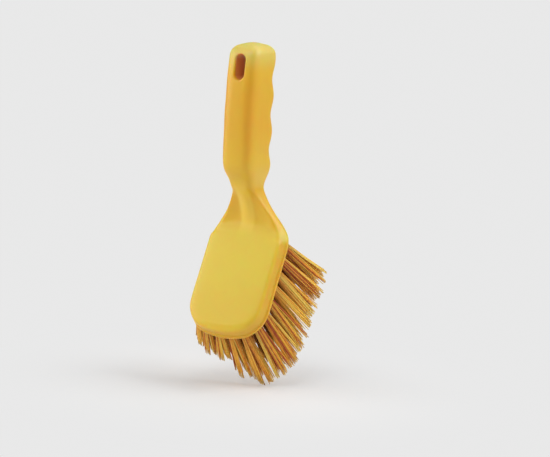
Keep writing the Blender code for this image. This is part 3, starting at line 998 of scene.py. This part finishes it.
spot = plastic.node("ShaderNodeMapRange", {},
                    {"Value": at_z, "From Min": PALE_LOW, "From Max": PALE_HIGH})
painted_light_by_height = plastic.node("ShaderNodeValToRGB",
                         {"stops": [(place, rgb(pale, pale, pale)) for place, pale in PAINTED_LIGHT_STOPS]},
                         {0: spot.outputs[0]})
# Painted light and shade on the head: paler on its flat back and at the shoulders, deeper down its
# sides and towards its free end
above_face = plastic.reach(HEAD, (0.0, -1.0, 0.0))
along_head = plastic.reach(HEAD, (0.0, 0.0, 1.0))
on_back = plastic.ramp(above_face, 8.5 * MM, 14.2 * MM, 0.15, 1.0)
to_shoulder = plastic.ramp(along_head, 36.0 * MM, 46.0 * MM)
to_middle = plastic.ramp(along_head, -45.0 * MM, 20.0 * MM, 0.75, 1.0)
painted_light_by_side = (on_back + (1.0 - on_back) * to_shoulder) * to_middle
unevenness = (cloud - 0.5) * 0.4 + (flow - 0.5) * 0.2
# Painted light and shade, with the pigment's own unevenness on top
painted_light_and_pigment_share = Amount(plastic, painted_light_by_height.outputs[0]) * painted_light_by_side + unevenness
colour = plastic.blend(painted_light_and_pigment_share, DEEP_YELLOW, LEMON_YELLOW)
print("with the paler places:", len(plastic.tree.nodes), "nodes")

# %% Plastic: painted shade along the grip's long corners
CORNER_SHADE_YELLOW, CORNER_SHADE_SHARE = rgb(0.80, 0.33, 0.02), 0.45

right_side = plastic.node("ShaderNodeVectorMath", {"operation": "ABSOLUTE"}, {0: plastic.place()})
flattened = plastic.node("ShaderNodeVectorMath", {"operation": "MULTIPLY"},
                         {0: right_side.outputs[0], 1: (1.0, 1.0, 0.0)})
from_corner = plastic.node("ShaderNodeVectorMath", {"operation": "DISTANCE"},
                           {0: flattened.outputs[0], 1: (GRIP_HALF_WIDTH, GRIP_BACK, 0.0)})
# Painted shade: a deeper orange along both corners of the grip's back, fading out towards the neck
# and the end
painted_corner_shade = (plastic.ramp(from_corner.outputs["Value"], 2.0 * MM, 10.0 * MM, CORNER_SHADE_SHARE, 0.0)
             * plastic.ramp(at_z, -100.0 * MM, -60.0 * MM)
             * plastic.ramp(at_z, -30.0 * MM, 0.0, 1.0, 0.2))
colour = plastic.blend(painted_corner_shade, colour, CORNER_SHADE_YELLOW)
print("with the corners:", len(plastic.tree.nodes), "nodes")

# %% Plastic: painted shade and highlights on the neck, the grip's end and the slot
FLUTE_SHADE_YELLOW, RIB_HIGHLIGHT_YELLOW = rgb(0.82, 0.43, 0.02), rgb(0.97, 0.66, 0.08)
END_HIGHLIGHT_YELLOW, SLOT_SHADE_ORANGE = rgb(0.79, 0.65, 0.15), rgb(0.80, 0.36, 0.12)

on_neck = plastic.between(at_z, -152.0 * MM, -138.0 * MM, -116.0 * MM, -100.0 * MM)
on_rib = plastic.between(at_x, -8.5 * MM, -4.5 * MM, 4.5 * MM, 8.5 * MM) * on_neck
at_end = plastic.ramp(at_z, -12.0 * MM, 9.0 * MM, 0.0, 0.8)
in_slot = (plastic.between(at_x, -5.3 * MM, -4.9 * MM, 4.9 * MM, 5.3 * MM)
           * plastic.between(at_z, -18.0 * MM, -17.0 * MM, 5.0 * MM, 6.0 * MM)
           * plastic.ramp(at_y, -20.0 * MM, -17.5 * MM))
# Painted shade: the neck deeper beside its rib, in the flutes
colour = plastic.blend((on_neck - on_rib) * 0.45, colour, FLUTE_SHADE_YELLOW)
# Painted highlight: a paler band over the neck's rib
colour = plastic.blend(on_rib * 0.75, colour, RIB_HIGHLIGHT_YELLOW)
# Painted highlight: the grip's end paler
colour = plastic.blend(at_end, colour, END_HIGHLIGHT_YELLOW)
# Painted shade: a deeper, redder orange inside the slot
colour = plastic.blend(in_slot, colour, SLOT_SHADE_ORANGE)
print("with the neck, the end and the slot:", len(plastic.tree.nodes), "nodes")

# %% Plastic: joined in the shader
plastic.feed(plastic.shader.inputs["Base Color"], colour)
plastic.feed(plastic.shader.inputs["Roughness"], 0.31 + cloud * 0.1 + grain * 0.06)
plastic.bump(grain * 0.7 + flow * 0.3, 0.2, 0.05 * MM)
moulding.data.materials.clear()
moulding.data.materials.append(plastic.material)
print("plastic:", len(plastic.tree.nodes), "nodes")

# %% [markdown]
# ## Amber filaments
#
# The filaments are yellow too, but light goes into a bundle and comes back deeper and warmer, so
# they look amber. Each has its own tone: most are golden, and some are a red brown that draws thin
# dark lines in a tuft. Towards the roots and between the tufts a painted shade sinks the tone to
# maroon, and the cut tips are paler. One material does this for all the tufts, because it reads the
# numbers that were stored on the points.

# %% Filament finish
AMBER_STOPS = ((0.0, rgb(0.38, 0.05, 0.022)), (0.3, rgb(0.58, 0.14, 0.03)),
               (0.46, rgb(1.0, 0.44, 0.05)), (0.75, rgb(1.0, 0.6, 0.07)),
               (1.0, rgb(1.0, 0.74, 0.15)))
MAROON, CUT_TIP = rgb(0.34, 0.028, 0.014), rgb(1.0, 0.76, 0.26)
LIGHTER = 0.12

amber = Finish("amber_filaments", Roughness=0.35, IOR=1.5, Specular_IOR_Level=0.3)
way, own_tone, inside = amber.attribute("along"), amber.attribute("tone"), amber.attribute("inside")
streak = amber.noise(amber.place(), 260.0, detail=2.0)
tones = amber.node("ShaderNodeValToRGB", {"stops": AMBER_STOPS},
                   {0: own_tone + LIGHTER + (streak - 0.5) * 0.4})
# Painted shade: maroon towards the roots and on the filaments that stand deep inside the brush
painted_shade = inside * amber.ramp(way, 0.3, 0.95, 1.0, 0.0) + amber.ramp(way, 0.05, 0.6, 0.3, 0.0)
shaded = amber.blend(painted_shade, tones.outputs[0], MAROON)
at_tip = amber.ramp(way, 0.86, 1.0, 0.0, 0.5)
amber.feed(amber.shader.inputs["Base Color"], amber.blend(at_tip, shaded, CUT_TIP))
amber.feed(amber.shader.inputs["Roughness"], 0.28 + streak * 0.16)
for tuft in tufts:
    tuft.data.materials.append(amber.material)
print("filaments:", len(amber.tree.nodes), "nodes")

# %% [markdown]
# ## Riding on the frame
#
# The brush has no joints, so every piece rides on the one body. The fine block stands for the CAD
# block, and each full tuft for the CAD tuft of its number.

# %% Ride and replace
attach(moulding, "root")
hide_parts("block_and_grip")
for number, tuft in enumerate(tufts, start=1):
    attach(tuft, "root")
    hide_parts(f"tuft_{number:02d}")
low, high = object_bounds()
print("dressed box in mm:", [round(1000 * side) for side in high - low])

# %% [markdown]
# ## Floor
#
# The brush is shown on its bristle tips on a plain pale floor. The floor is a large plane that
# takes a soft shadow near the brush. Further out it fades, for the camera alone, into the plain grey
# of the background, so that no horizon shows and no light has to be raised for it.

# %% Floor
BACKGROUND, FLOOR_COLOUR, FLOOR_SIZE = 0.812, 0.86, 6.0
SHADOW_CENTRE, SHADOW_NEAR, SHADOW_FAR = (0.0, 13.0 * MM), 40.0 * MM, 240.0 * MM

bpy.ops.object.select_all(action="DESELECT")
bpy.ops.mesh.primitive_plane_add(size=FLOOR_SIZE, location=(0.0, 0.0, low.z))
floor = bpy.context.object
floor.name = "floor"
bpy.ops.object.transform_apply(location=True, rotation=True, scale=True)
pale = Finish("pale_floor", Roughness=0.9)
pale.shader.inputs["Base Color"].default_value = rgb(FLOOR_COLOUR, FLOOR_COLOUR, FLOOR_COLOUR)
glow = pale.node("ShaderNodeEmission", {}, {"Color": rgb(BACKGROUND, BACKGROUND, BACKGROUND)})
middle = pale.node("ShaderNodeMapping", {},
                   {"Vector": pale.place(),
                    "Location": (-SHADOW_CENTRE[0], -SHADOW_CENTRE[1], -low.z)})
distance = pale.node("ShaderNodeVectorMath", {"operation": "LENGTH"}, {0: middle.outputs[0]})
far = pale.ramp(distance.outputs["Value"], SHADOW_NEAR, SHADOW_FAR, 0.25, 1.0)
rays = pale.node("ShaderNodeLightPath", {}, {})
seen = Amount(pale, rays.outputs["Is Camera Ray"]) * far
joined = pale.node("ShaderNodeMixShader", {}, {0: seen, 1: pale.shader.outputs[0],
                                               2: glow.outputs[0]})
pale.feed(pale.tree.nodes["Material Output"].inputs["Surface"], joined.outputs[0])
floor.data.materials.append(pale.material)
print("floor at", round(1000 * low.z, 1), "mm")

# %% [markdown]
# ## World and lamps
#
# Large soft lights stand at the left, in front, at the right and high at the back, and the world
# fills in a little. Small lamps would draw hard shadows, and a bright world alone would take the
# form away. Their powers are kept low enough that a colour comes out about as it is written.

# %% World
WORLD_LIGHT = 0.18

world = bpy.data.worlds.new("studio")
bpy.context.scene.world = world
world.use_nodes = True
sky = world.node_tree
background = sky.nodes["Background"]
background.inputs["Color"].default_value = rgb(1.0, 1.0, 1.0)
background.inputs["Strength"].default_value = WORLD_LIGHT
shown = sky.nodes.new("ShaderNodeBackground")
shown.inputs["Color"].default_value = rgb(BACKGROUND, BACKGROUND, BACKGROUND)
path_kind = sky.nodes.new("ShaderNodeLightPath")
choice = sky.nodes.new("ShaderNodeMixShader")
sky.links.new(path_kind.outputs["Is Camera Ray"], choice.inputs[0])
sky.links.new(background.outputs[0], choice.inputs[1])
sky.links.new(shown.outputs[0], choice.inputs[2])
sky.links.new(choice.outputs[0], sky.nodes["World Output"].inputs["Surface"])
print("world light", WORLD_LIGHT)

# %% Lamps
LAMP_AIM = Vector((0.0, 0.0, -0.12))
LAMPS = (("left_light", (-1.26, -0.73, 0.41), 1.4, 12.0),
         ("front_light", (0.0, -0.95, 1.1), 1.4, 8.5),
         ("right_light", (1.11, 0.59, 0.79), 1.3, 15.0),
         ("back_light", (0.03, 0.73, 1.25), 1.2, 5.0))
for name, place, size, power in LAMPS:
    lamp = bpy.data.lights.new(name, "AREA")
    lamp.shape, lamp.size, lamp.energy = "DISK", size, power
    holder = bpy.data.objects.new(name, lamp)
    bpy.context.collection.objects.link(holder)
    holder.location = place
    aim = LAMP_AIM - Vector(place)
    holder.rotation_euler = aim.to_track_quat("-Z", "Y").to_euler()
print(len(LAMPS), "lamps")

# %% [markdown]
# ## Camera
#
# The photograph looks at the back of the head from a little above and from its right side, through
# a long lens. The camera stands there, and is aimed so that the head lies below and left of the
# middle of the picture.

# %% Camera
CAMERA_PLACE = Vector((0.8038, -1.3450, 0.0868))
CAMERA_RIGHT = Vector((0.85249, 0.52079, 0.04508))
LENS, SENSOR, PICTURE_WIDTH, PICTURE_HEIGHT = 120.285, 36.0, 550, 457
HEAD_PIXEL = (239.09, 282.71)

focal = LENS / SENSOR * PICTURE_WIDTH
ahead = (on_head(0.0, 0.0, 0.0) - CAMERA_PLACE).normalized()
up = CAMERA_RIGHT.cross(ahead).normalized()
ahead = (ahead + CAMERA_RIGHT * (PICTURE_WIDTH / 2 - HEAD_PIXEL[0]) / focal
         - up * (PICTURE_HEIGHT / 2 - HEAD_PIXEL[1]) / focal).normalized()
right = (CAMERA_RIGHT - ahead * CAMERA_RIGHT.dot(ahead)).normalized()
up = right.cross(ahead)
camera_turn = Matrix((right, up, -ahead)).transposed().to_4x4()
camera = bpy.data.objects.new("camera", bpy.data.cameras.new("camera"))
bpy.context.collection.objects.link(camera)
camera.matrix_world = Matrix.Translation(CAMERA_PLACE) @ camera_turn
camera.data.lens, camera.data.sensor_width = LENS, SENSOR
bpy.context.scene.camera = camera
bpy.context.scene.view_settings.view_transform = "Standard"
print("camera", [round(c, 3) for c in camera.location])
